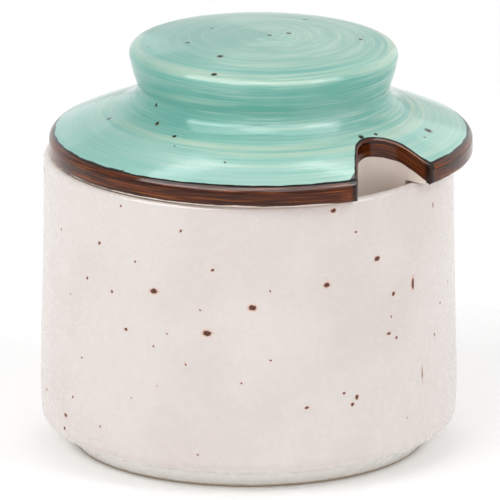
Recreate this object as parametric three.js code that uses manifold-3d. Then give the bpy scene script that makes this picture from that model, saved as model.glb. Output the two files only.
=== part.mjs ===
// Butter crock: a glazed jar, and a one-piece lid whose bell hangs down inside the jar.
// Millimetres, +Z up. The origin is on the table, under the middle of the closed object.
import * as THREE from 'three';
import { mergeVertices } from 'three/addons/utils/BufferGeometryUtils.js';
import Module from 'manifold-3d';

const wasm = await Module();
wasm.setup();

const QUARTER = Math.PI / 2;

// Sizes that drive the jar
const BODY_RADIUS = 50;
const RIM_RADIUS = 49;
const BORE_RADIUS = 46.1;
const RIM_TOP = 70.9;
const RIM_ROUND = 1.2;
const SIDE_BULGE = 0.3;
const SIDE_BEND_HEIGHT = 45.5;
const FLOOR_TOP = 6.2;
const FLOOR_FILLET = 6.5;
const FOOT_RADIUS = 44.9;
const FOOT_HEIGHT = 4.5;
const FOOT_TAPER = 2.8;
const FOOT_ROUND = 1.2;
const FOOT_ROUND_END = -0.35 * QUARTER;
const FOOT_RING_WIDTH = 4;
const FOOT_RECESS = 1.8;
const SHOULDER_TOP = 8.4;
const WIDEST_HEIGHT = 15;

// Sizes that drive the outside of the lid
const SEAT_GAP = 0.3;
const SEAT = RIM_TOP + SEAT_GAP;
const LID_SHIFT = 2.9; // the lid has been pushed sideways until its bell nearly meets the bore
const EDGE_RADIUS = 50.6;
const EDGE_TOP = 76.6;
const EDGE_LOW_ROUND = 0.9;
const EDGE_HIGH_ROUND = 2.2;
const EDGE_ROUND_END = 0.75 * QUARTER;
const DOME_BEND_RADIUS = 42.5;
const DOME_BEND_HEIGHT = 79.5;
const DOME_TOP_RADIUS = 36.5;
const DOME_TOP = 81.6;
const NECK_RADIUS = 30.2;
const NECK_BEND_HEIGHT = 83.85;
const NECK_HEIGHT = 88;
const KNOB_BEND_RADIUS = 31.5;
const KNOB_BEND_HEIGHT = 91.2;
const KNOB_RADIUS = 32.1;
const KNOB_HEIGHT = 95.2;
const KNOB_ROUND = 2.2;
const KNOB_ROUND_END = 0.8 * QUARTER;
const CROWN_BEND_RADIUS = 19.8;
const CROWN_HEIGHT = 100;

// Sizes that drive the bell and the hollow inside the lid
const WALL = 4.4;
const BELL_RADIUS = 42.9;
const BELL_BOTTOM = 22;
const BELL_DRAFT = 1;
const HOLLOW_BEND_HEIGHT = 74.2;
const HOLLOW_SHOULDER_RADIUS = 33;
const HOLLOW_SHOULDER_HEIGHT = 75.8;
const HOLLOW_NECK_RADIUS = NECK_RADIUS - WALL;
const HOLLOW_NECK_BEND_HEIGHT = 78.4;
const HOLLOW_NECK_HEIGHT = 85.7;
const HOLLOW_KNOB_RADIUS = 26.3;

// Hand finishing left the knob a little off centre, and leaning to the right
const KNOB_SHIFT = 0.65;
const KNOB_LEAN = 0.01;

// The notch is a vertical cut through the flange, which goes on as a groove down the bell. Its end is
// round, its right side is nearly radial and its left side opens out widely.
const NOTCH_RADIUS = 7.5;
const NOTCH_DISTANCE = 44.4;
const NOTCH_AZIMUTH = THREE.MathUtils.degToRad(43);
const NOTCH_LEFT_SPLAY = THREE.MathUtils.degToRad(43);
const NOTCH_RIGHT_SPLAY = THREE.MathUtils.degToRad(9.5);
const NOTCH_REACH = 18;

// Facets
const TURNS = 64;
const ARC_STEPS = 3;
const CURVE_STEPS = 4;

/** A solid of revolution about Z from an outline drawn as (radius, height). */
function turned(outline) {
  const points = outline.getPoints(CURVE_STEPS);
  const geometry = new THREE.LatheGeometry(points, TURNS);
  geometry.rotateX(QUARTER);
  return geometry;
}

/** A straight vertical prism from an outline drawn in plan. */
function prism(outline, low, high) {
  const geometry = new THREE.ExtrudeGeometry(outline, {
    depth: high - low,
    bevelEnabled: false,
    curveSegments: 4 * CURVE_STEPS,
  });
  geometry.translate(0, 0, low);
  return geometry;
}

/** The closed solid of a geometry, ready to be joined or cut. */
function solid(geometry) {
  const bare = geometry.clone();
  bare.deleteAttribute('normal');
  bare.deleteAttribute('uv');
  const merged = mergeVertices(bare, 1e-4);
  const corners = merged.index.array;
  const kept = [];
  for (let i = 0; i < corners.length; i += 3) {
    const [a, b, c] = corners.slice(i, i + 3);
    if (a !== b && b !== c && c !== a) kept.push(a, b, c);
  }
  return new wasm.Manifold(new wasm.Mesh({
    numProp: 3,
    vertProperties: new Float32Array(merged.attributes.position.array),
    triVerts: new Uint32Array(kept),
  }));
}

/** The geometry of a solid. */
function geometryOf(manifold) {
  const mesh = manifold.getMesh();
  const geometry = new THREE.BufferGeometry();
  geometry.setAttribute('position', new THREE.BufferAttribute(mesh.vertProperties, 3));
  geometry.setIndex(new THREE.BufferAttribute(mesh.triVerts, 1));
  geometry.computeVertexNormals();
  return geometry;
}

/** Adds a round stretch to an outline: part of an ellipse about (x, y), from one angle to another. */
function round(outline, x, y, radiusX, radiusY, from, to) {
  for (let i = 0; i <= ARC_STEPS; i += 1) {
    const angle = from + ((to - from) * i) / ARC_STEPS;
    outline.lineTo(x + radiusX * Math.cos(angle), y + radiusY * Math.sin(angle));
  }
}

/** The jar: a low foot with a recess under it, a tucked-in lower edge, straight sides and a round rim. */
function crockGeometry() {
  const ringOuter = FOOT_RADIUS - FOOT_TAPER - FOOT_ROUND;
  const ringInner = ringOuter - FOOT_RING_WIDTH;
  const tuck = BODY_RADIUS - SIDE_BULGE - FOOT_RADIUS;
  const outline = new THREE.Path();
  outline.moveTo(0, FOOT_RECESS);
  outline.lineTo(ringInner - FOOT_RECESS, FOOT_RECESS);
  outline.lineTo(ringInner, 0);
  round(outline, ringOuter, FOOT_ROUND, FOOT_ROUND, FOOT_ROUND, -QUARTER, FOOT_ROUND_END);
  outline.lineTo(FOOT_RADIUS, FOOT_HEIGHT);
  round(outline, FOOT_RADIUS, SHOULDER_TOP, tuck, SHOULDER_TOP - FOOT_HEIGHT, -QUARTER, 0);
  outline.lineTo(BODY_RADIUS, WIDEST_HEIGHT);
  outline.quadraticCurveTo(RIM_RADIUS + SIDE_BULGE, SIDE_BEND_HEIGHT, RIM_RADIUS, RIM_TOP - RIM_ROUND);
  round(outline, RIM_RADIUS - RIM_ROUND, RIM_TOP - RIM_ROUND, RIM_ROUND, RIM_ROUND, 0, QUARTER);
  round(outline, BORE_RADIUS + RIM_ROUND, RIM_TOP - RIM_ROUND, RIM_ROUND, RIM_ROUND, QUARTER, 2 * QUARTER);
  const filletAxis = BORE_RADIUS - FLOOR_FILLET;
  const filletHeight = FLOOR_TOP + FLOOR_FILLET;
  round(outline, filletAxis, filletHeight, FLOOR_FILLET, FLOOR_FILLET, 0, -QUARTER);
  outline.lineTo(0, FLOOR_TOP);
  return geometryOf(solid(turned(outline)));
}

/** The outside of the lid: crown, knob, neck, dome, edge, seat and the outer wall of the bell. */
function lidOutside() {
  const outline = new THREE.Path();
  const tip = BELL_RADIUS - BELL_DRAFT;
  outline.moveTo(0, BELL_BOTTOM);
  outline.lineTo(tip - WALL / 2, BELL_BOTTOM);
  round(outline, tip - WALL / 2, BELL_BOTTOM + WALL / 2, WALL / 2, WALL / 2, -QUARTER, 0);
  outline.lineTo(BELL_RADIUS, SEAT);
  const lowAxis = EDGE_RADIUS - EDGE_LOW_ROUND;
  round(outline, lowAxis, SEAT + EDGE_LOW_ROUND, EDGE_LOW_ROUND, EDGE_LOW_ROUND, -QUARTER, 0);
  round(
    outline, EDGE_RADIUS - EDGE_HIGH_ROUND, EDGE_TOP - EDGE_HIGH_ROUND,
    EDGE_HIGH_ROUND, EDGE_HIGH_ROUND, 0, EDGE_ROUND_END,
  );
  outline.quadraticCurveTo(DOME_BEND_RADIUS, DOME_BEND_HEIGHT, DOME_TOP_RADIUS, DOME_TOP);
  outline.quadraticCurveTo(NECK_RADIUS, NECK_BEND_HEIGHT, NECK_RADIUS, NECK_HEIGHT);
  outline.quadraticCurveTo(KNOB_BEND_RADIUS, KNOB_BEND_HEIGHT, KNOB_RADIUS, KNOB_HEIGHT);
  round(outline, KNOB_RADIUS - KNOB_ROUND, KNOB_HEIGHT, KNOB_ROUND, KNOB_ROUND, 0, KNOB_ROUND_END);
  outline.quadraticCurveTo(CROWN_BEND_RADIUS, CROWN_HEIGHT, 0, CROWN_HEIGHT);
  return turned(outline);
}

/** The hollow of the bell, which goes on up into the knob. */
function lidHollow() {
  const outline = new THREE.Path();
  const mouth = BELL_RADIUS - BELL_DRAFT - WALL;
  const side = BELL_RADIUS - WALL;
  const top = CROWN_HEIGHT - WALL;
  outline.moveTo(0, BELL_BOTTOM - WALL);
  outline.lineTo(mouth, BELL_BOTTOM - WALL);
  outline.lineTo(mouth, BELL_BOTTOM);
  outline.lineTo(side, SEAT - WALL);
  outline.quadraticCurveTo(side, HOLLOW_BEND_HEIGHT, HOLLOW_SHOULDER_RADIUS, HOLLOW_SHOULDER_HEIGHT);
  outline.quadraticCurveTo(
    HOLLOW_NECK_RADIUS, HOLLOW_NECK_BEND_HEIGHT,
    HOLLOW_NECK_RADIUS, HOLLOW_NECK_HEIGHT,
  );
  outline.lineTo(HOLLOW_KNOB_RADIUS, top - WALL);
  round(outline, HOLLOW_KNOB_RADIUS - WALL, top - WALL, WALL, WALL, 0, QUARTER);
  outline.lineTo(0, top);
  return turned(outline);
}

/** The plan of the notch about the centre of its round end, open outwards along -Y. */
function notchPlan(radius) {
  const reachOf = (splay) => radius / Math.cos(splay) + NOTCH_REACH * Math.tan(splay);
  const plan = new THREE.Shape();
  plan.moveTo(-reachOf(NOTCH_LEFT_SPLAY), -NOTCH_REACH);
  plan.lineTo(reachOf(NOTCH_RIGHT_SPLAY), -NOTCH_REACH);
  plan.absarc(0, 0, radius, NOTCH_RIGHT_SPLAY, Math.PI - NOTCH_LEFT_SPLAY, false);
  plan.closePath();
  return plan;
}

/** A vertical cutter of the notch's plan, in place on the lid. */
function notchCutter(radius, low, high) {
  const geometry = prism(notchPlan(radius), low, high);
  geometry.translate(0, -NOTCH_DISTANCE, 0);
  geometry.rotateZ(NOTCH_AZIMUTH);
  return solid(geometry);
}

/** Moves the knob of a lid that is truly round to where hand finishing left it. */
function handFinished(geometry) {
  const position = geometry.attributes.position;
  for (let i = 0; i < position.count; i += 1) {
    const x = position.getX(i);
    const z = position.getZ(i);
    const rise = THREE.MathUtils.smoothstep(z, EDGE_TOP, NECK_HEIGHT);
    position.setX(i, x + KNOB_SHIFT * rise);
    position.setZ(i, z - KNOB_LEAN * x * rise);
  }
  geometry.computeVertexNormals();
  return geometry;
}

/** The lid: its hollow leaves a wall all round, and a wall behind the notch's groove as well. */
function lidGeometry() {
  const jacket = notchCutter(NOTCH_RADIUS + WALL, BELL_BOTTOM - 2 * WALL, CROWN_HEIGHT);
  const hollow = solid(lidHollow()).subtract(jacket);
  const notch = notchCutter(NOTCH_RADIUS, BELL_BOTTOM - WALL, CROWN_HEIGHT);
  return handFinished(geometryOf(solid(lidOutside()).subtract(hollow).subtract(notch)));
}

/** A named mesh of one fired and glazed piece. */
function ceramic(name, geometry, color, roughness) {
  const material = new THREE.MeshStandardMaterial({ color, roughness, metalness: 0 });
  const mesh = new THREE.Mesh(geometry, material);
  mesh.name = name;
  return mesh;
}

const crock = ceramic('crock', crockGeometry(), '#e8dfda', 0.25);
crock.position.x = -LID_SHIFT / 2;

const lid = ceramic('lid', lidGeometry(), '#9eccbf', 0.2);
lid.position.x = LID_SHIFT / 2;

const group = new THREE.Group();
group.add(crock, lid);

export default group;
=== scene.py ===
"""Butter crock: a white speckled jar, and a brushed turquoise lid with a brown edge, a notch and a bell.

Sizes are in millimetres until a mesh is made. Azimuths run from the front, -Y, towards +X.
"""

import math
import random

import bmesh
import bpy
import numpy as np
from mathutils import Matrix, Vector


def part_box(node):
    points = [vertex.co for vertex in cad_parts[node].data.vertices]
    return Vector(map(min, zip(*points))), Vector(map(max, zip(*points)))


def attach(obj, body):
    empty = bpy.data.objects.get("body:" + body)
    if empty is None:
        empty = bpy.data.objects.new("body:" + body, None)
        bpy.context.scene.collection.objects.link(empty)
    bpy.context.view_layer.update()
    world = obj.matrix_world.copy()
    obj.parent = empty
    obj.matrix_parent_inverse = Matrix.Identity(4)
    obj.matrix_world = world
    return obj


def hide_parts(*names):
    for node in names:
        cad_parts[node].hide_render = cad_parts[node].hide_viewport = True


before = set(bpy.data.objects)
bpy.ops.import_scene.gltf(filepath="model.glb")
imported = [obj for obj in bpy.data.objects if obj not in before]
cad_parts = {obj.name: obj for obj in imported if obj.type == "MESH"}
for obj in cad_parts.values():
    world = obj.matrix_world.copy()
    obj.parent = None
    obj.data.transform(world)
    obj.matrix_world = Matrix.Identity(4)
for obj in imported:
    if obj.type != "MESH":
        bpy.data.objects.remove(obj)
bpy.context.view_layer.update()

MM = 0.001
QUARTER = math.pi / 2

crock_low, crock_high = (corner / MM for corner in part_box("crock"))
lid_low, lid_high = (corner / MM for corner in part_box("lid"))

# The jar
CROCK_AXIS = (crock_low.x + crock_high.x) / 2
BODY_RADIUS = (crock_high.x - crock_low.x) / 2
RIM_TOP = crock_high.z
RIM_RADIUS = BODY_RADIUS - 1
BORE_RADIUS = RIM_RADIUS - 2.9
RIM_ROUND = 1.2
SIDE_BULGE = 0.3
SIDE_BEND_HEIGHT = 45.5
FLOOR_TOP = 6.2
FLOOR_FILLET = 6.5
FOOT_RADIUS = 44.9
FOOT_HEIGHT = 4.5
FOOT_TAPER = 2.8
FOOT_ROUND = 1.2
FOOT_ROUND_END = -0.35 * QUARTER
FOOT_RING_WIDTH = 4
FOOT_RECESS = 1.8
SHOULDER_TOP = 8.4
WIDEST_HEIGHT = 15
GLAZE_LINE = 0.7  # the foot is bare below this height

# The lid
LID_AXIS = (lid_low.x + lid_high.x) / 2
EDGE_RADIUS = (lid_high.x - lid_low.x) / 2
CROWN_HEIGHT = lid_high.z - 0.03  # room for the side of the crown that the knob's lean lifts
BELL_BOTTOM = lid_low.z
SEAT = RIM_TOP + 0.3
EDGE_TOP = SEAT + 5.4
EDGE_LOW_ROUND = 0.9
EDGE_HIGH_ROUND = 2.2
EDGE_ROUND_END = 0.75 * QUARTER
DOME_BEND_RADIUS = 42.5
DOME_BEND_HEIGHT = 79.5
DOME_TOP_RADIUS = 36.5
DOME_TOP = 81.6
NECK_RADIUS = 30.2
NECK_BEND_HEIGHT = 83.85
NECK_HEIGHT = 88
KNOB_BEND_RADIUS = 31.5
KNOB_BEND_HEIGHT = 91.2
KNOB_RADIUS = 32.1
KNOB_HEIGHT = 95.2
KNOB_ROUND = 2.2
KNOB_ROUND_END = 0.8 * QUARTER
CROWN_BEND_RADIUS = 19.8
KNOB_SHIFT = 0.65
KNOB_LEAN = 0.01

# The bell, and the hollow inside the lid
WALL = 4.4
BELL_RADIUS = 42.9
BELL_DRAFT = 1
HOLLOW_BEND_HEIGHT = 74.2
HOLLOW_SHOULDER_RADIUS = 33
HOLLOW_SHOULDER_HEIGHT = 75.8
HOLLOW_NECK_RADIUS = NECK_RADIUS - WALL
HOLLOW_NECK_BEND_HEIGHT = 78.4
HOLLOW_NECK_HEIGHT = 85.7
HOLLOW_KNOB_RADIUS = 26.3
MOUTH_ROUND = 1.9

# The notch
NOTCH_RADIUS = 7.5
NOTCH_DISTANCE = 44.4
NOTCH_AZIMUTH = math.radians(43)
NOTCH_LEFT_SPLAY = math.radians(43)
NOTCH_RIGHT_SPLAY = math.radians(9.5)
NOTCH_REACH = 18
NOTCH_EDGE_ROUND = 0.6
LEFT_LIP_ROUND = 1.8
RIGHT_LIP_ROUND = 0.5

# The cutter of the notch
CUTTER_BEND_HEIGHT = SEAT - 2  # its rings are level below this height, and follow the dome above it
CUTTER_DEPTHS = (4.9, 4.4, 3.9, 3.2, 2.4, 1.6)  # of the rings in the flange, below the dome
CUTTER_RISE = 0.2  # how far above the dome its flare goes on
CUTTER_FLARE = NOTCH_EDGE_ROUND + 0.7
CUTTER_OVERSHOOT = 8  # how far past the lips it goes on
LIP_TURN = 0.92  # the share of a lip's rounding that it cuts
FLARE_END_RADIUS = EDGE_RADIUS - 0.2

# The painted band
BAND_TOP_RADIUS = 49.2
BAND_BOTTOM = SEAT + 0.5
BAND_ON_WALL = 4.4
BAND_OVER_EDGE = 0.3
BAND_OVER_LIP = 1.1
BAND_REACH = 3  # how far from the notch's wall it is looked for
LIP_INSET = 0.4  # from the lid's widest point to the place that counts as a lip
LIP_NEAR = 0.5
LIP_FAR = 3.4
OUTSIDE_BAND = -9
WHITE_DEPTH = 2.2  # the lid is white further than this below its upper surface
SWIRL_SHIFT = 1.8

# The slow waves in the jar's side
WAVE_DEPTH = 0.06
WAVE_START = SHOULDER_TOP
WAVE_FULL = SHOULDER_TOP + 8
WAVE_FALL = RIM_TOP - 14
WAVE_END = RIM_TOP - 2

# Steps along an outline, and around a turned piece
LONG_STEP = 1.5
CURVE_STEP = 0.5
CROCK_TURNS = 288
HOLLOW_TURNS = 200
LID_TURN = math.radians(1.3)
LID_TURN_BY_NOTCH = math.radians(0.55)
NOTCH_SECTOR = math.radians(19)

# Steps around the notch and up its cutter
ROUND_END_STEPS = 28
NOTCH_SIDE_STEPS = 14
LIP_STEPS = 8
JACKET_STEPS = 48
LOW_RING_STEPS = 20
NOTCH_EDGE_STEPS = 7

# The camera
CAMERA_PLACE = (-1.15, -2830, 863.3)
CAMERA_TILT = 73.9
CAMERA_LENS = 886

FLOOR_SIDE = 4000
WORLD_STRENGTH = 0.71


def smoothstep(low, high, value):
    """0 below low, 1 above high, and a smooth rise between them."""
    share = np.clip((value - low) / (high - low), 0, 1)
    return share * share * (3 - 2 * share)


class Outline:
    """Half a section of a turned piece, as (radius, height) points close enough together to look smooth."""

    def __init__(self, radius, height):
        self.points = [(radius, height)]

    def line(self, radius, height):
        start = self.points[-1]
        steps = max(1, math.ceil(math.dist(start, (radius, height)) / LONG_STEP))
        for i in range(1, steps + 1):
            share = i / steps
            point = (start[0] + share * (radius - start[0]), start[1] + share * (height - start[1]))
            self.points.append(point)
        return self

    def curve(self, control, end):
        """A quadratic curve."""
        start = self.points[-1]
        steps = math.ceil((math.dist(start, control) + math.dist(control, end)) / (2 * CURVE_STEP)) + 4
        for i in range(1, steps + 1):
            t = i / steps
            near, middle, far = (1 - t) ** 2, 2 * t * (1 - t), t * t
            point = tuple(near * a + middle * b + far * c for a, b, c in zip(start, control, end))
            self.points.append(point)
        return self

    def arc(self, centre, radii, start, end):
        """Part of an ellipse, from one angle to another."""
        steps = math.ceil(abs(end - start) * max(radii) / CURVE_STEP) + 3
        for i in range(steps + 1):
            angle = start + (end - start) * i / steps
            point = (centre[0] + radii[0] * math.cos(angle), centre[1] + radii[1] * math.sin(angle))
            if math.dist(point, self.points[-1]) > 0.01:
                self.points.append(point)
        return self

    def then(self, other):
        """Goes on with another outline that starts where this one ends."""
        self.points.extend(other.points[1:])
        return self


def crock_outline():
    ring_outer = FOOT_RADIUS - FOOT_TAPER - FOOT_ROUND
    ring_inner = ring_outer - FOOT_RING_WIDTH
    tuck = BODY_RADIUS - SIDE_BULGE - FOOT_RADIUS
    outline = Outline(0, FOOT_RECESS).line(ring_inner - FOOT_RECESS, FOOT_RECESS).line(ring_inner, 0)
    outline.line(ring_outer, 0)
    outline.arc((ring_outer, FOOT_ROUND), (FOOT_ROUND, FOOT_ROUND), -QUARTER, FOOT_ROUND_END)
    outline.line(FOOT_RADIUS, FOOT_HEIGHT)
    outline.arc((FOOT_RADIUS, SHOULDER_TOP), (tuck, SHOULDER_TOP - FOOT_HEIGHT), -QUARTER, 0)
    outline.line(BODY_RADIUS, WIDEST_HEIGHT)
    rounding = (RIM_ROUND, RIM_ROUND)
    rounded_from = RIM_TOP - RIM_ROUND
    outline.curve((RIM_RADIUS + SIDE_BULGE, SIDE_BEND_HEIGHT), (RIM_RADIUS, rounded_from))
    outline.arc((RIM_RADIUS - RIM_ROUND, rounded_from), rounding, 0, QUARTER)
    outline.arc((BORE_RADIUS + RIM_ROUND, rounded_from), rounding, QUARTER, 2 * QUARTER)
    fillet = (FLOOR_FILLET, FLOOR_FILLET)
    outline.line(BORE_RADIUS, FLOOR_TOP + FLOOR_FILLET)
    outline.arc((BORE_RADIUS - FLOOR_FILLET, FLOOR_TOP + FLOOR_FILLET), fillet, 0, -QUARTER)
    return outline.line(0, FLOOR_TOP)


def dome_outline():
    """The lid's upper edge, its dome and the foot of its neck."""
    outline = Outline(EDGE_RADIUS, EDGE_TOP - EDGE_HIGH_ROUND)
    rounding = (EDGE_HIGH_ROUND, EDGE_HIGH_ROUND)
    outline.arc((EDGE_RADIUS - EDGE_HIGH_ROUND, EDGE_TOP - EDGE_HIGH_ROUND), rounding, 0, EDGE_ROUND_END)
    outline.curve((DOME_BEND_RADIUS, DOME_BEND_HEIGHT), (DOME_TOP_RADIUS, DOME_TOP))
    return outline.curve((NECK_RADIUS, NECK_BEND_HEIGHT), (NECK_RADIUS, NECK_HEIGHT))


def lid_outline():
    """The outside of the lid, from the middle of the bell's mouth to the middle of the crown."""
    tip = BELL_RADIUS - BELL_DRAFT
    low_rounding = (EDGE_LOW_ROUND, EDGE_LOW_ROUND)
    outline = Outline(0, BELL_BOTTOM).line(tip - WALL / 2, BELL_BOTTOM)
    outline.arc((tip - WALL / 2, BELL_BOTTOM + WALL / 2), (WALL / 2, WALL / 2), -QUARTER, 0)
    outline.line(BELL_RADIUS, SEAT).line(EDGE_RADIUS - EDGE_LOW_ROUND, SEAT)
    outline.arc((EDGE_RADIUS - EDGE_LOW_ROUND, SEAT + EDGE_LOW_ROUND), low_rounding, -QUARTER, 0)
    outline.line(EDGE_RADIUS, EDGE_TOP - EDGE_HIGH_ROUND).then(dome_outline())
    outline.curve((KNOB_BEND_RADIUS, KNOB_BEND_HEIGHT), (KNOB_RADIUS, KNOB_HEIGHT))
    outline.arc((KNOB_RADIUS - KNOB_ROUND, KNOB_HEIGHT), (KNOB_ROUND, KNOB_ROUND), 0, KNOB_ROUND_END)
    return outline.curve((CROWN_BEND_RADIUS, CROWN_HEIGHT), (0, CROWN_HEIGHT))


def hollow_outline():
    """The hollow of the bell and knob. Its mouth flares, so that the bell's tip is round."""
    top = CROWN_HEIGHT - WALL
    side = BELL_RADIUS - WALL
    flared = side - BELL_DRAFT + MOUTH_ROUND
    outline = Outline(0, BELL_BOTTOM - WALL).line(flared, BELL_BOTTOM - WALL).line(flared, BELL_BOTTOM)
    outline.arc((flared, BELL_BOTTOM + MOUTH_ROUND), (MOUTH_ROUND, MOUTH_ROUND), -QUARTER, -2 * QUARTER)
    outline.line(side, SEAT - WALL)
    outline.curve((side, HOLLOW_BEND_HEIGHT), (HOLLOW_SHOULDER_RADIUS, HOLLOW_SHOULDER_HEIGHT))
    outline.curve((HOLLOW_NECK_RADIUS, HOLLOW_NECK_BEND_HEIGHT), (HOLLOW_NECK_RADIUS, HOLLOW_NECK_HEIGHT))
    outline.line(HOLLOW_KNOB_RADIUS, top - WALL)
    outline.arc((HOLLOW_KNOB_RADIUS - WALL, top - WALL), (WALL, WALL), 0, QUARTER)
    return outline.line(0, top)


def mesh_object(name, points, faces):
    """A mesh object from points in millimetres."""
    mesh = bpy.data.meshes.new(name)
    mesh.from_pydata([tuple(c * MM for c in point) for point in points], [], faces)
    mesh.update()
    made = bpy.data.objects.new(name, mesh)
    bpy.context.scene.collection.objects.link(made)
    return made


def turned(name, outline, azimuths):
    """A closed solid of revolution about Z. Its outline starts and ends on the axis."""
    inner = outline.points[1:-1]
    count = len(azimuths)
    points = [(0, 0, outline.points[0][1])]
    for radius, height in inner:
        points.extend((radius * math.sin(a), -radius * math.cos(a), height) for a in azimuths)
    points.append((0, 0, outline.points[-1][1]))
    last = len(points) - 1
    faces = []
    for j in range(count):
        following = (j + 1) % count
        faces.append((0, 1 + following, 1 + j))
        for i in range(len(inner) - 1):
            lower = 1 + i * count
            upper = lower + count
            faces.append((lower + j, lower + following, upper + following, upper + j))
        top = 1 + (len(inner) - 1) * count
        faces.append((last, top + j, top + following))
    return mesh_object(name, points, faces)


def even_azimuths(count):
    return [2 * math.pi * j / count for j in range(count)]


def lid_azimuths():
    """Close together around the notch, and further apart elsewhere."""
    near_turn = 2 * NOTCH_SECTOR
    far_turn = 2 * math.pi - near_turn
    near_count = int(near_turn / LID_TURN_BY_NOTCH)
    far_count = int(far_turn / LID_TURN)
    near = [NOTCH_AZIMUTH - NOTCH_SECTOR + near_turn * j / near_count for j in range(near_count)]
    far = [NOTCH_AZIMUTH + NOTCH_SECTOR + far_turn * j / far_count for j in range(far_count)]
    return near + far


dome_points = sorted(dome_outline().points)


def dome_height(radius):
    """The height of the lid's upper surface at a distance from its axis."""
    return np.interp(radius, [p[0] for p in dome_points], [p[1] for p in dome_points])


def notch_side(splay, lip):
    """One side of the notch in plan, from its deepest point out to its lip and on past the lid.

    Each row is (sideways, outwards, normal sideways, normal outwards) about the centre of the round end,
    and the normals point into the lid. The last row closes the cutter, and has no normal.
    """
    rows = []
    for i in range(ROUND_END_STEPS + 1):
        angle = QUARTER + (splay - QUARTER) * i / ROUND_END_STEPS
        into = np.array([math.cos(angle), -math.sin(angle)])
        rows.append((*(NOTCH_RADIUS * into), *into))
    start = np.array(rows[-1][:2])
    along = np.array([math.sin(splay), math.cos(splay)])
    # The lip's centre lies as far from the wall as from the lid's edge
    first = start + lip * into + (0, NOTCH_DISTANCE)
    slope = float(first @ along)
    straight = -slope + math.sqrt(slope**2 - float(first @ first) + (EDGE_RADIUS - lip) ** 2)
    for i in range(1, NOTCH_SIDE_STEPS + 1):
        rows.append((*(start + straight * i / NOTCH_SIDE_STEPS * along), *into))
    centre = start + straight * along + lip * into
    outwards = (centre + (0, NOTCH_DISTANCE)) / (EDGE_RADIUS - lip)
    whole = math.atan2(float(outwards @ along), -float(outwards @ into))
    for i in range(1, LIP_STEPS + 1):
        turn = LIP_TURN * whole * i / LIP_STEPS
        facing = into * math.cos(turn) - along * math.sin(turn)
        rows.append((*(centre - lip * facing), *facing))
    beyond = centre - lip * facing + CUTTER_OVERSHOOT * np.array([-facing[1], facing[0]])
    rows.append((*beyond, *facing))
    rows.append((beyond[0], NOTCH_REACH, 0, 0))
    return rows


def notch_wall():
    """The notch's whole wall in plan, from the closing corner on its left to the one on its right."""
    left = [(-x, y, -nx, ny) for x, y, nx, ny in notch_side(NOTCH_LEFT_SPLAY, LEFT_LIP_ROUND)]
    return left[:0:-1] + notch_side(NOTCH_RIGHT_SPLAY, RIGHT_LIP_ROUND)


def notch_axes():
    """The directions sideways across the notch and outwards along it."""
    aside = (math.cos(NOTCH_AZIMUTH), math.sin(NOTCH_AZIMUTH))
    away = (math.sin(NOTCH_AZIMUTH), -math.cos(NOTCH_AZIMUTH))
    return aside, away


def notch_cutter():
    """The cutter of the notch: upright walls, flared at the top so that the glazed edge comes out round."""
    wall = notch_wall()
    low = BELL_BOTTOM - 2 * WALL
    rise = CUTTER_BEND_HEIGHT - low
    levels = [("height", low + rise * i / LOW_RING_STEPS, 0) for i in range(LOW_RING_STEPS + 1)]
    levels += [("depth", depth, 0) for depth in CUTTER_DEPTHS]
    for i in range(NOTCH_EDGE_STEPS):
        angle = QUARTER * i / NOTCH_EDGE_STEPS
        depth = NOTCH_EDGE_ROUND * (1 - math.sin(angle))
        flare = NOTCH_EDGE_ROUND * (1 - math.cos(angle))
        levels.append(("depth", depth, flare))
    levels.append(("depth", -CUTTER_RISE, CUTTER_FLARE))
    levels.append(("height", CROWN_HEIGHT + WALL, CUTTER_FLARE))
    aside, away = notch_axes()
    points = []
    for kind, value, flare in levels:
        for across, out, into_across, into_out in wall:
            radius = math.hypot(across, NOTCH_DISTANCE + out)
            fade = 1 - float(smoothstep(EDGE_RADIUS - EDGE_HIGH_ROUND, FLARE_END_RADIUS, radius))
            wide_across = across + flare * fade * into_across
            wide_out = NOTCH_DISTANCE + out + flare * fade * into_out
            height = value
            if kind == "depth":
                height = float(dome_height(math.hypot(wide_across, wide_out))) - value
            points.append((
                wide_across * aside[0] + wide_out * away[0],
                wide_across * aside[1] + wide_out * away[1],
                height,
            ))
    count = len(wall)
    faces = [tuple(range(count - 1, -1, -1))]
    for i in range(len(levels) - 1):
        for j in range(count):
            following = (j + 1) % count
            lower = i * count
            faces.append((lower + j, lower + following, lower + count + following, lower + count + j))
    faces.append(tuple(range((len(levels) - 1) * count, len(levels) * count)))
    return mesh_object("notch_cutter", points, faces)


def jacket_cutter():
    """What the hollow keeps clear of: the notch's plan, larger by the thickness of the wall."""
    radius = NOTCH_RADIUS + WALL
    left = radius / math.cos(NOTCH_LEFT_SPLAY) + NOTCH_REACH * math.tan(NOTCH_LEFT_SPLAY)
    right = radius / math.cos(NOTCH_RIGHT_SPLAY) + NOTCH_REACH * math.tan(NOTCH_RIGHT_SPLAY)
    angles = np.linspace(NOTCH_RIGHT_SPLAY, math.pi - NOTCH_LEFT_SPLAY, JACKET_STEPS + 1)
    plan = [(-left, NOTCH_REACH), (right, NOTCH_REACH)]
    plan += [(radius * math.cos(a), -radius * math.sin(a)) for a in angles]
    aside, away = notch_axes()
    count = len(plan)
    points = []
    for height in (BELL_BOTTOM - 3 * WALL, CROWN_HEIGHT):
        for across, out in plan:
            far = NOTCH_DISTANCE + out
            points.append((across * aside[0] + far * away[0], across * aside[1] + far * away[1], height))
    faces = [tuple(range(count)), tuple(range(2 * count - 1, count - 1, -1))]
    for j in range(count):
        following = (j + 1) % count
        faces.append((j, count + j, count + following, following))
    return mesh_object("jacket_cutter", points, faces)


def facing_out(thing):
    """Turns every face of a closed mesh outwards."""
    work = bmesh.new()
    work.from_mesh(thing.data)
    bmesh.ops.recalc_face_normals(work, faces=work.faces)
    work.to_mesh(thing.data)
    work.free()
    return thing


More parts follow.
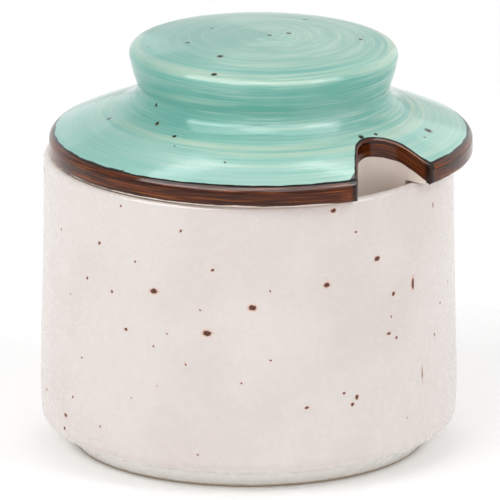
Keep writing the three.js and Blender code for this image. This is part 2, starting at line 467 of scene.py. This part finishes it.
def cut(thing, cutter):
    """Cuts one closed mesh from another, and deletes the cutter."""
    for piece in (thing, cutter):
        facing_out(piece)
    modifier = thing.modifiers.new("cut", "BOOLEAN")
    modifier.operation = "DIFFERENCE"
    modifier.solver = "EXACT"
    modifier.object = cutter
    evaluated = thing.evaluated_get(bpy.context.evaluated_depsgraph_get())
    mesh = bpy.data.meshes.new_from_object(evaluated)
    thing.modifiers.clear()
    thing.data = mesh
    bpy.data.objects.remove(cutter)
    return thing


def points_of(thing):
    """A mesh's points in millimetres, one row each."""
    points = np.zeros(3 * len(thing.data.vertices))
    thing.data.vertices.foreach_get("co", points)
    return points.reshape(-1, 3) / MM


def move_points(thing, points):
    thing.data.vertices.foreach_set("co", (points * MM).ravel())
    thing.data.update()


def store_vectors(thing, name, columns):
    """Keeps a vector for each point, for the material to read."""
    attribute = thing.data.attributes.new(name, "FLOAT_VECTOR", "POINT")
    attribute.data.foreach_set("vector", np.stack(columns, 1).astype(np.float32).ravel())


def store_numbers(thing, name, numbers):
    """Keeps a number for each point, for the material to read."""
    attribute = thing.data.attributes.new(name, "FLOAT", "POINT")
    attribute.data.foreach_set("value", numbers.astype(np.float32))


def nearest_on(path, first, second):
    """For each (first, second): how far along a path its nearest place on it is, and the gap to there."""
    path = np.array(path)
    start, step = path[:-1], np.diff(path, axis=0)
    length = np.linalg.norm(step, axis=1)
    before = np.concatenate([[0], np.cumsum(length)[:-1]])
    gap = np.full(len(first), np.inf)
    run = np.zeros(len(first))
    for i in range(len(step)):
        share = ((first - start[i, 0]) * step[i, 0] + (second - start[i, 1]) * step[i, 1]) / length[i] ** 2
        share = np.clip(share, 0, 1)
        off = np.hypot(first - start[i, 0] - share * step[i, 0], second - start[i, 1] - share * step[i, 1])
        nearer = off < gap
        gap[nearer] = off[nearer]
        run[nearer] = (before[i] + share * length[i])[nearer]
    return run, gap


def notch_gap(points):
    """How far each point is, in plan, from the wall of the notch and from the nearer of its two lips."""
    aside, away = notch_axes()
    across = points[:, 0] * aside[0] + points[:, 1] * aside[1]
    out = points[:, 0] * away[0] + points[:, 1] * away[1] - NOTCH_DISTANCE
    path = np.array([row[:2] for row in notch_wall()[1:-1]])
    from_axis = np.hypot(path[:, 0], path[:, 1] + NOTCH_DISTANCE)
    lips = path[np.argsort(np.abs(from_axis - EDGE_RADIUS + LIP_INSET))]
    left, right = lips[lips[:, 0] < 0][0], lips[lips[:, 0] > 0][0]
    to_left = np.hypot(across - left[0], out - left[1])
    to_right = np.hypot(across - right[0], out - right[1])
    return nearest_on(path, across, out)[1], np.minimum(to_left, to_right)


def paint_lid(lid):
    """Stores where each point lies along the brush strokes and across the painted band."""
    points = points_of(lid)
    radius = np.hypot(points[:, 0], points[:, 1])
    height = points[:, 2]
    from_crown = lid_outline().points[::-1]
    run = nearest_on(from_crown, radius, height)[0]
    band_start = np.array([BAND_TOP_RADIUS])
    band_run = float(nearest_on(from_crown, band_start, dome_height(band_start))[0][0])
    depth = dome_height(radius) - height
    gap, to_lip = notch_gap(points)
    near_lip = 1 - smoothstep(LIP_NEAR, LIP_FAR, to_lip)
    beside_notch = (gap < BAND_REACH) & (radius > NECK_RADIUS + 1)
    over_edge = BAND_OVER_EDGE + NOTCH_EDGE_ROUND + BAND_OVER_LIP * near_lip
    on_edge = np.minimum(radius - BAND_TOP_RADIUS, height - BAND_BOTTOM)
    on_wall = np.where(beside_notch, np.minimum(BAND_ON_WALL - depth, over_edge - gap), OUTSIDE_BAND)
    band = np.maximum(on_edge, on_wall)
    across = np.where(on_wall > on_edge, depth + np.maximum(0, 1 - gap), run - band_run)
    inside = (radius < NECK_RADIUS - WALL / 2) & (height < CROWN_HEIGHT - WALL / 2)
    white = ((depth > WHITE_DEPTH) | inside).astype(float)
    shift = SWIRL_SHIFT * np.clip(1 - radius / KNOB_RADIUS, 0, 1)
    swirl_x = points[:, 0] - shift
    on_crown = (height > KNOB_HEIGHT) & (white < 0.5)
    swirl = np.where(on_crown, run - radius + np.hypot(swirl_x, points[:, 1]), run)
    azimuth = np.arctan2(swirl_x, -points[:, 1])
    store_vectors(lid, "brush", [swirl, np.cos(azimuth), np.sin(azimuth)])
    store_vectors(lid, "paint", [across, band, white])
    store_numbers(lid, "near_lip", near_lip)


def hand_finished(lid):
    """Moves the knob of a lid that is truly round to where hand finishing left it."""
    points = points_of(lid)
    rise = smoothstep(EDGE_TOP, NECK_HEIGHT, points[:, 2])
    points[:, 2] -= KNOB_LEAN * points[:, 0] * rise
    points[:, 0] += KNOB_SHIFT * rise
    move_points(lid, points)


def onto_axis(thing, axis):
    """Moves a piece that was made about Z onto its own axis."""
    points = points_of(thing)
    points[:, 0] += axis
    move_points(thing, points)


def shade_smooth(thing, angle):
    thing.data.shade_smooth()
    thing.data.set_sharp_from_angle(angle=math.radians(angle))


def uneven_crock(crock):
    """The slow waves that turning and drying leave in the sides. They only ever go inwards."""
    points = points_of(crock)
    azimuth = np.arctan2(points[:, 0], -points[:, 1])
    height = points[:, 2]
    wave = 1 + 0.6 * np.sin(2 * azimuth + height / 15) + 0.4 * np.sin(3 * azimuth - height / 9 + 1)
    amount = WAVE_DEPTH * wave * smoothstep(WAVE_START, WAVE_FULL, height)
    amount *= 1 - smoothstep(WAVE_FALL, WAVE_END, height)
    radius = np.hypot(points[:, 0], points[:, 1])
    outside = radius > BORE_RADIUS + 0.5
    shrink = np.where(outside, 1 - amount / np.maximum(radius, 1), 1)
    points[:, 0] *= shrink
    points[:, 1] *= shrink
    move_points(crock, points)


def make_crock():
    crock = facing_out(turned("crock_body", crock_outline(), even_azimuths(CROCK_TURNS)))
    uneven_crock(crock)
    onto_axis(crock, CROCK_AXIS)
    shade_smooth(crock, 60)
    return crock


def make_lid():
    lid = turned("lid_with_bell", lid_outline(), lid_azimuths())
    hollow = cut(turned("hollow", hollow_outline(), even_azimuths(HOLLOW_TURNS)), jacket_cutter())
    cut(lid, hollow)
    cut(lid, notch_cutter())
    paint_lid(lid)
    hand_finished(lid)
    onto_axis(lid, LID_AXIS)
    shade_smooth(lid, 40)
    return lid


# Materials


def srgb(red, green, blue):
    """A colour given in display values from 0 to 255."""
    def linear(value):
        value /= 255
        return value / 12.92 if value <= 0.04045 else ((value + 0.055) / 1.055) ** 2.4

    return (linear(red), linear(green), linear(blue), 1)


class Shader:
    """A material's nodes, added and linked by short calls. Each call gives back the new node's output."""

    def __init__(self, name):
        self.material = bpy.data.materials.new(name)
        self.material.use_nodes = True
        self.tree = self.material.node_tree
        self.surface = self.tree.nodes["Principled BSDF"]

    def join(self, socket, value):
        if isinstance(value, bpy.types.NodeSocket):
            self.tree.links.new(value, socket)
        elif value is not None:
            socket.default_value = value

    def node(self, kind, inputs, output=0, **settings):
        made = self.tree.nodes.new(kind)
        for key, value in settings.items():
            setattr(made, key, value)
        for key, value in inputs.items():
            self.join(made.inputs[key], value)
        return made.outputs[output]

    def math(self, operation, *values, clamp=False):
        return self.node("ShaderNodeMath", dict(enumerate(values)), operation=operation, use_clamp=clamp)

    def vector(self, operation, *values, output=0):
        return self.node("ShaderNodeVectorMath", dict(enumerate(values)), output, operation=operation)

    def parts(self, vector):
        made = self.tree.nodes.new("ShaderNodeSeparateXYZ")
        self.join(made.inputs[0], vector)
        return made.outputs

    def combine(self, x, y, z):
        return self.node("ShaderNodeCombineXYZ", {0: x, 1: y, 2: z})

    def noise(self, vector, scale=1.0, detail=2.0, roughness=0.5, distortion=0.0, output=0):
        values = {"Vector": vector, "Scale": scale, "Detail": detail, "Roughness": roughness}
        values["Distortion"] = distortion
        return self.node("ShaderNodeTexNoise", values, output)

    def step(self, value, low, high, start=0.0, end=1.0):
        """A smooth change from start to end while value goes from low to high."""
        values = {"Value": value, 1: low, 2: high, 3: start, 4: end}
        return self.node("ShaderNodeMapRange", values, interpolation_type="SMOOTHSTEP")

    def mix(self, share, first, second, blend="MIX"):
        made = self.tree.nodes.new("ShaderNodeMix")
        made.data_type = "RGBA"
        made.blend_type = blend
        made.clamp_factor = True
        self.join(made.inputs[0], share)
        self.join(made.inputs[6], first)
        self.join(made.inputs[7], second)
        return made.outputs[2]

    def place(self):
        """Where the point is on the object, in millimetres."""
        coordinates = self.tree.nodes.new("ShaderNodeTexCoord").outputs["Object"]
        return self.vector("MULTIPLY", coordinates, (1 / MM, 1 / MM, 1 / MM))

    def between(self, value, rise, fall):
        """1 between two smooth changes, each given as where it starts and ends, and 0 outside them."""
        return self.math("MULTIPLY", self.step(value, *rise), self.step(value, *fall, 1, 0))

    def stored(self, name, output="Vector"):
        """A value that the mesh keeps for each point."""
        made = self.tree.nodes.new("ShaderNodeAttribute")
        made.attribute_name = name
        return made.outputs[output]

    def bump(self, height, depth, normal=None):
        """Relief of that depth in millimetres where height goes from 0 to 1."""
        values = {"Height": height, "Distance": depth * MM, "Normal": normal}
        return self.node("ShaderNodeBump", values)

    def nearest_speck(self, place, specks):
        """The distance to the nearest speck, counted in that speck's own radii."""
        nearest = None
        for (x, y, z), wide, tall in specks:
            scale = (1 / wide, 1 / wide, 1 / tall)
            offset = (-x / wide, -y / wide, -z / tall)
            made = self.vector("MULTIPLY_ADD", place, scale, offset)
            distance = self.vector("LENGTH", made, output=1)
            nearest = distance if nearest is None else self.math("MINIMUM", nearest, distance)
        return nearest


def round_about(axis, azimuth, radius, height):
    """The place at an azimuth in degrees, a distance from a piece's axis and a height."""
    angle = math.radians(azimuth)
    return (axis + radius * math.sin(angle), -radius * math.cos(angle), height)


# Iron specks on the jar's sides: azimuth in degrees, height, then half the width and half the height
CROCK_SPECKS = [
    (-27, 49, 0.95, 0.6), (1, 46.5, 0.85, 0.65), (-11.5, 40, 0.95, 0.65), (22, 51, 0.65, 0.6),
    (38, 55.5, 0.65, 0.55), (52, 47, 0.4, 1.4), (44, 46, 0.4, 0.45), (42, 36.5, 0.55, 0.3),
    (45, 35, 0.35, 0.35), (56, 24, 0.2, 1.6), (31, 22.5, 0.45, 0.5), (29.5, 21, 0.42, 0.42),
    (27, 24, 0.3, 0.32), (16, 21.5, 0.5, 0.28), (-36, 38.5, 0.45, 0.36), (24, 69, 0.6, 0.5),
    (-46, 58, 0.38, 0.34), (-33, 55.5, 0.25, 0.25), (-41, 47, 0.3, 0.3), (-51, 48.5, 0.3, 0.3),
    (-10, 55.5, 0.3, 0.3), (6, 50.5, 0.25, 0.2), (-13.5, 45.5, 0.22, 0.2), (-23, 39, 0.3, 0.2),
    (-27, 35.5, 0.25, 0.2), (-17.5, 32, 0.28, 0.3), (-61, 12.5, 0.6, 0.5), (-62, 9, 0.4, 0.4),
    (-45, 13, 0.2, 0.2), (6, 33.5, 0.35, 0.16), (-2, 28, 0.2, 0.2), (-14, 10, 0.22, 0.22),
    (31, 63, 0.25, 0.25), (-38, 68.5, 0.25, 0.25), (-19, 64.5, 0.28, 0.28), (-65, 57.5, 0.25, 0.25),
    (63, 32, 0.32, 0.3), (67, 39, 0.3, 0.25), (43, 40.5, 0.25, 0.3), (-57, 18, 0.3, 0.3),
    (-75, 15.5, 0.45, 0.4), (74, 42.5, 0.35, 0.3), (63, 64, 0.25, 0.6), (-53, 28.5, 0.28, 0.22),
    (-26, 26, 0.2, 0.18), (-34, 22, 0.22, 0.2), (49, 14.5, 0.22, 0.2), (-59, 43, 0.22, 0.2),
]

# Iron specks on the lid: azimuth in degrees, distance from the crown along the surface, then the half sizes
LID_SPECKS = [
    (-23, 30.1, 0.62, 0.5), (-31, 20, 0.7, 0.6), (-73, 19, 0.5, 0.5), (-37, 48.6, 0.45, 0.5),
    (-50, 46.2, 0.5, 0.55), (-57, 42.0, 0.3, 0.4), (-77, 51.5, 0.5, 0.5), (41.5, 49.4, 0.6, 0.55),
    (48.8, 49.8, 0.45, 0.4), (72.5, 56, 0.9, 0.6), (103, 6.2, 0.55, 0.5), (60, 1.6, 0.5, 0.5),
    (92, 23.2, 0.5, 0.5), (150, 20, 0.5, 0.5), (-118, 14, 0.4, 0.4), (-42, 64.6, 0.6, 0.9),
    (66, 57, 0.3, 0.3), (-12, 56, 0.25, 0.25), (-80, 28, 0.35, 0.35), (-33, 52, 0.2, 0.2),
]


# Where the listed specks leave a piece bare, and how far down the lid's surface random ones lie
CROCK_BARE_SIDE = (84, 276)
LID_BARE_SIDE = (95, 265)
LID_SPECK_RUNS = (38, 63)


def random_specks(seed, count, low, high):
    """Specks for the side of the jar that the listed ones leave bare."""
    draw = random.Random(seed)
    rows = []
    for _ in range(count):
        azimuth = draw.uniform(*CROCK_BARE_SIDE)
        height = draw.uniform(low, high)
        size = 0.2 + 0.7 * draw.random() ** 3
        rows.append((azimuth, height, size, size * draw.uniform(0.6, 1.2)))
    return rows


def random_lid_specks(seed, count):
    """The same for the lid, from its neck down to near its edge."""
    draw = random.Random(seed)
    rows = []
    for _ in range(count):
        size = 0.25 + 0.45 * draw.random() ** 2
        rows.append((draw.uniform(*LID_BARE_SIDE), draw.uniform(*LID_SPECK_RUNS), size, size))
    return rows


def side_radius(height):
    """The radius of the jar's outside at a height."""
    outside = [point for point in crock_outline().points if point[0] > BORE_RADIUS + 0.8]
    side = sorted((high, radius) for radius, high in outside if high > FOOT_HEIGHT)
    return float(np.interp(height, [p[0] for p in side], [p[1] for p in side]))


def place_on_lid(run):
    """The (radius, height) on the outside of the lid at a distance from the crown along the surface."""
    path = np.array(lid_outline().points[::-1])
    along = np.concatenate([[0], np.cumsum(np.linalg.norm(np.diff(path, axis=0), axis=1))])
    return float(np.interp(run, along, path[:, 0])), float(np.interp(run, along, path[:, 1]))


def dark_specks(shader, place, colour, specks, halo_colour, core_colour):
    """Lays iron specks over a glaze, each with the rust that bleeds out of it."""
    wobble = shader.noise(place, scale=1.1, detail=2, output=1)
    centred = shader.vector("SUBTRACT", wobble, (0.5, 0.5, 0.5))
    moved = shader.vector("MULTIPLY_ADD", centred, (0.7, 0.7, 0.7), place)
    nearest = shader.nearest_speck(moved, specks)
    halo = shader.step(nearest, 1, 1.9, 0.5, 0)
    core = shader.step(nearest, 0.85, 1.15, 1, 0)
    colour = shader.mix(halo, colour, halo_colour)
    return shader.mix(core, colour, core_colour), core


def white_glaze(shader, place):
    """The warm white glaze: a little cloudy, with pinholes too small to see one by one."""
    cloud = shader.noise(place, scale=0.04, detail=2, roughness=0.5)
    grain = shader.noise(place, scale=0.9, detail=3, roughness=0.6)
    colour = shader.mix(shader.step(cloud, 0.35, 0.65), srgb(218, 208, 203), srgb(222, 214, 209))
    return shader.mix(shader.step(grain, 0.5, 0.8, 0, 0.14), colour, srgb(212, 198, 189))


def crock_material():
    shader = Shader("white_glaze")
    place = shader.place()
    height = shader.parts(place)[2]
    colour = white_glaze(shader, place)
    # Painted light: the foot and the bottom of the side are painted lighter, standing in for light bounced
    # up from the floor
    colour = shader.mix(shader.step(height, 3, 7, 0.8, 0), colour, srgb(246, 244, 238))
    specks = [
        (round_about(CROCK_AXIS, azimuth, side_radius(high), high), wide, tall)
        for azimuth, high, wide, tall in CROCK_SPECKS + random_specks(11, 26, 10, RIM_TOP - 3)
    ]
    colour, core = dark_specks(shader, place, colour, specks, srgb(216, 138, 96), srgb(84, 38, 16))
    ragged = shader.noise(place, scale=0.35, detail=4)
    line = shader.math("MULTIPLY_ADD", ragged, 0.6, GLAZE_LINE - 0.3)
    bare = shader.math("LESS_THAN", height, line)
    clay_grain = shader.noise(place, scale=2.2, detail=5, roughness=0.7)
    clay = shader.mix(clay_grain, srgb(196, 176, 152), srgb(226, 210, 190))
    colour = shader.mix(bare, colour, clay)
    surface = shader.surface
    shader.join(surface.inputs["Base Color"], colour)
    rough = shader.noise(place, scale=0.25, detail=3)
    gloss = shader.step(rough, 0.3, 0.7, 0.24, 0.3)
    dull = shader.math("MULTIPLY", bare, 0.85)
    shader.join(surface.inputs["Roughness"], shader.math("MAXIMUM", gloss, dull))
    surface.inputs["IOR"].default_value = 1.5
    slow = shader.bump(shader.noise(place, scale=0.05, detail=0), 0.06)
    peel = shader.bump(shader.noise(place, scale=0.6, detail=1), 0.0015, slow)
    grit = shader.bump(shader.math("MULTIPLY", clay_grain, bare), 0.08, peel)
    shader.join(surface.inputs["Normal"], shader.bump(core, 0.03, grit))
    return shader.material


def strokes(shader, across, along, width, length, detail, seed):
    """What a brush leaves: noise that changes fast across its strokes and slowly along them."""
    return shader.noise(
        shader.combine(
            shader.math("DIVIDE", across, width),
            shader.math("MULTIPLY_ADD", along[0], length, seed),
            shader.math("MULTIPLY", along[1], length),
        ),
        detail=detail, roughness=0.6,
    )


def turquoise_glaze(shader, place):
    """Glaze brushed on in rings while the lid turned: long strokes of thin and thick colour. Painted light
    lies over it: the dome, which faces up, is painted lighter, and part of the cream along the knob's edge
    is a painted highlight.

    The zones are told apart by run, the distance from the crown along the surface in millimetres.
    """
    run, turn_cos, turn_sin = shader.parts(shader.stored("brush"))
    turn = (turn_cos, turn_sin)
    broad = strokes(shader, run, turn, 5.0, 0.7, 2, 3.0)
    middle = strokes(shader, run, turn, 1.5, 0.9, 3, 17.0)
    fine = strokes(shader, run, turn, 0.45, 1.3, 3, 31.0)
    cloud = shader.noise(place, scale=0.06, detail=2)
    top = shader.step(run, 22, 30, 1, 0)
    rim = shader.between(run, (28, 30.3), (31.6, 33.4))
    neck = shader.between(run, (32.5, 35), (45, 50))
    dome = shader.step(run, 47, 54)
    ring = shader.between(run, (48.5, 50), (52.5, 54.5))
    patchy = shader.step(middle, 0.36, 0.62)
    # Cream along the knob's rounded edge: partly glaze thinning over the edge, partly a painted highlight
    rim_glaze_and_highlight = shader.math("MULTIPLY", rim, shader.math("MULTIPLY_ADD", patchy, 0.5, 0.25))
    on_ring = shader.math("MULTIPLY", ring, shader.math("MULTIPLY", patchy, 0.6))
    thick, thin, cream = srgb(106, 176, 163), srgb(146, 197, 182), srgb(202, 216, 194)
    colour = shader.mix(shader.step(broad, 0.32, 0.6), thick, thin)
    colour = shader.mix(shader.math("MULTIPLY", top, 0.4), colour, srgb(170, 194, 180))
    colour = shader.mix(shader.math("MULTIPLY", neck, 0.55), colour, srgb(88, 162, 149))
    colour = shader.mix(rim_glaze_and_highlight, colour, cream)
    # Painted light: the dome, which faces up, is painted lighter for the light and sheen it catches from
    # above
    colour = shader.mix(shader.math("MULTIPLY", dome, 0.6), colour, srgb(172, 212, 200))
    colour = shader.mix(on_ring, colour, cream)
    colour = shader.mix(shader.step(middle, 0.5, 0.72, 0, 0.5), colour, srgb(192, 213, 196))
    colour = shader.mix(shader.step(middle, 0.46, 0.28, 0, 0.35), colour, srgb(104, 178, 166))
    colour = shader.mix(shader.step(fine, 0.5, 0.75, 0, 0.45), colour, srgb(202, 221, 205))
    colour = shader.mix(shader.step(fine, 0.48, 0.25, 0, 0.35), colour, srgb(100, 170, 160))
    colour = shader.mix(shader.step(cloud, 0.45, 0.75, 0, 0.3), colour, srgb(168, 198, 194))
    # Darker towards the lid's front left
    colour = shader.mix(shader.step(turn_sin, -0.35, -0.9, 0, 0.45), colour, srgb(92, 158, 148))
    return colour, middle, fine


def brown_paint(shader, across, place):
    """The brown band: dark along its lapped upper edge and at the notch's lips, and streaky below."""
    x, y, _ = shader.parts(place)
    fine = strokes(shader, across, (x, y), 0.4, 0.06, 3, 5.0)
    broad = strokes(shader, across, (x, y), 1.6, 0.05, 3, 23.0)
    colour = shader.mix(shader.step(broad, 0.35, 0.62), srgb(42, 9, 0), srgb(80, 29, 0))
    colour = shader.mix(shader.step(fine, 0.48, 0.72, 0, 0.65), colour, srgb(162, 86, 14))
    colour = shader.mix(shader.step(fine, 0.47, 0.27, 0, 0.55), colour, srgb(20, 3, 0))
    lap = shader.step(across, 0.45, 0.95, 1, 0)
    foot = shader.step(across, 4.2, 5.2, 0, 0.5)
    colour = shader.mix(foot, colour, srgb(60, 24, 8))
    at_lip = shader.step(shader.stored("near_lip", "Fac"), 0.6, 0.95, 0, 0.85)
    dark = shader.math("MAXIMUM", lap, at_lip)
    return shader.mix(dark, colour, srgb(8, 3, 1)), fine


def lid_material():
    shader = Shader("turquoise_glaze")
    place = shader.place()
    across, band, white = shader.parts(shader.stored("paint"))
    turquoise, middle, fine = turquoise_glaze(shader, place)
    # Painted light: the lid's white glaze is tinted beige, standing in for warm light bounced off the brown
    # and turquoise
    white_with_painted_bounce = shader.mix(0.5, white_glaze(shader, place), srgb(222, 204, 186))
    colour = shader.mix(white, turquoise, white_with_painted_bounce)
    specks = []
    for azimuth, run, wide, tall in LID_SPECKS + random_lid_specks(5, 16):
        radius, high = place_on_lid(run)
        axis = LID_AXIS + KNOB_SHIFT * float(smoothstep(EDGE_TOP, NECK_HEIGHT, high))
        specks.append((round_about(axis, azimuth, radius, high), wide, tall))
    colour, core = dark_specks(shader, place, colour, specks, srgb(110, 120, 80), srgb(18, 12, 6))
    wander = shader.noise(place, scale=0.16, detail=3)
    ragged = shader.math("MULTIPLY_ADD", shader.math("SUBTRACT", wander, 0.5), 0.9, band)
    brown = shader.step(ragged, -0.08, 0.1)
    paint, streaks = brown_paint(shader, across, place)
    colour = shader.mix(brown, colour, paint)
    surface = shader.surface
    shader.join(surface.inputs["Base Color"], colour)
    rough = shader.noise(place, scale=0.3, detail=3)
    shader.join(surface.inputs["Roughness"], shader.step(rough, 0.3, 0.7, 0.08, 0.14))
    surface.inputs["IOR"].default_value = 1.38
    slow = shader.bump(shader.noise(place, scale=0.09, detail=2), 0.12)
    relief = shader.bump(middle, 0.03, slow)
    relief = shader.bump(fine, 0.008, relief)
    relief = shader.bump(shader.math("MULTIPLY", streaks, brown), 0.035, relief)
    shader.join(surface.inputs["Normal"], shader.bump(brown, 0.05, relief))
    return shader.material


def floor_material():
    shader = Shader("pale_floor")
    place = shader.place()
    grain = shader.noise(place, scale=0.02, detail=2)
    colour = shader.mix(grain, srgb(253, 253, 253), srgb(255, 255, 255))
    shader.join(shader.surface.inputs["Base Color"], colour)
    shader.surface.inputs["Roughness"].default_value = 0.9
    shader.surface.inputs["Specular IOR Level"].default_value = 0.1
    return shader.material


# Pieces

crock_piece = make_crock()
crock_piece.data.materials.append(crock_material())
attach(crock_piece, "crock_body")
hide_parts("crock")

lid_piece = make_lid()
lid_piece.data.materials.clear()
lid_piece.data.materials.append(lid_material())
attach(lid_piece, "lid_body")
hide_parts("lid")


# Stage

def make_floor():
    side = FLOOR_SIDE
    corners = [(-side, -side, 0), (side, -side, 0), (side, side, 0), (-side, side, 0)]
    floor = mesh_object("floor", corners, [(0, 1, 2, 3)])
    floor.data.materials.append(floor_material())
    return floor


def softbox(name, azimuth, elevation, distance, width, height, power, lights_up=True):
    """A rectangular light that faces the crock, in degrees, metres and watts.

    One that doesn't light the crock up is only seen in its gloss.
    """
    light = bpy.data.lights.new(name, "AREA")
    light.shape = "RECTANGLE"
    light.size = width
    light.size_y = height
    light.energy = power
    lamp = bpy.data.objects.new(name, light)
    bpy.context.scene.collection.objects.link(lamp)
    lamp.visible_diffuse = lights_up
    angle = math.radians(azimuth)
    tilt = math.radians(elevation)
    level = distance * math.cos(tilt)
    lamp.location = (level * math.sin(angle), -level * math.cos(angle), distance * math.sin(tilt))
    lamp.rotation_euler = (math.radians(90 - elevation), 0, angle)
    return lamp


def make_camera():
    camera = bpy.data.objects.new("camera", bpy.data.cameras.new("camera"))
    bpy.context.scene.collection.objects.link(camera)
    camera.location = tuple(c * MM for c in CAMERA_PLACE)
    camera.rotation_euler = (math.radians(CAMERA_TILT), 0, 0)
    camera.data.lens = CAMERA_LENS
    camera.data.sensor_width = 36
    camera.data.clip_end = 100
    bpy.context.scene.camera = camera


make_floor()
softbox("left_window", -48, 45, 1.0, 0.8, 0.2, 2.8)
softbox("right_window", 60, 45, 1.0, 0.4, 0.2, 1.6)
softbox("left_panel", -43, 55, 1.0, 1.0, 0.9, 12, lights_up=False)
softbox("right_panel", 40, 55, 1.0, 1.2, 0.9, 14, lights_up=False)
softbox("back_strip", 180, 61, 1.0, 0.6, 0.08, 0.7)
softbox("backdrop_left", -150, 14, 1.6, 1.4, 0.8, 1.5)
softbox("backdrop_right", 140, 16, 1.6, 1.4, 1.0, 2.5)

world = bpy.data.worlds.new("studio")
world.use_nodes = True
world.node_tree.nodes["Background"].inputs["Color"].default_value = (1, 1, 1, 1)
world.node_tree.nodes["Background"].inputs["Strength"].default_value = WORLD_STRENGTH
bpy.context.scene.world = world
bpy.context.scene.view_settings.view_transform = "Standard"

make_camera()
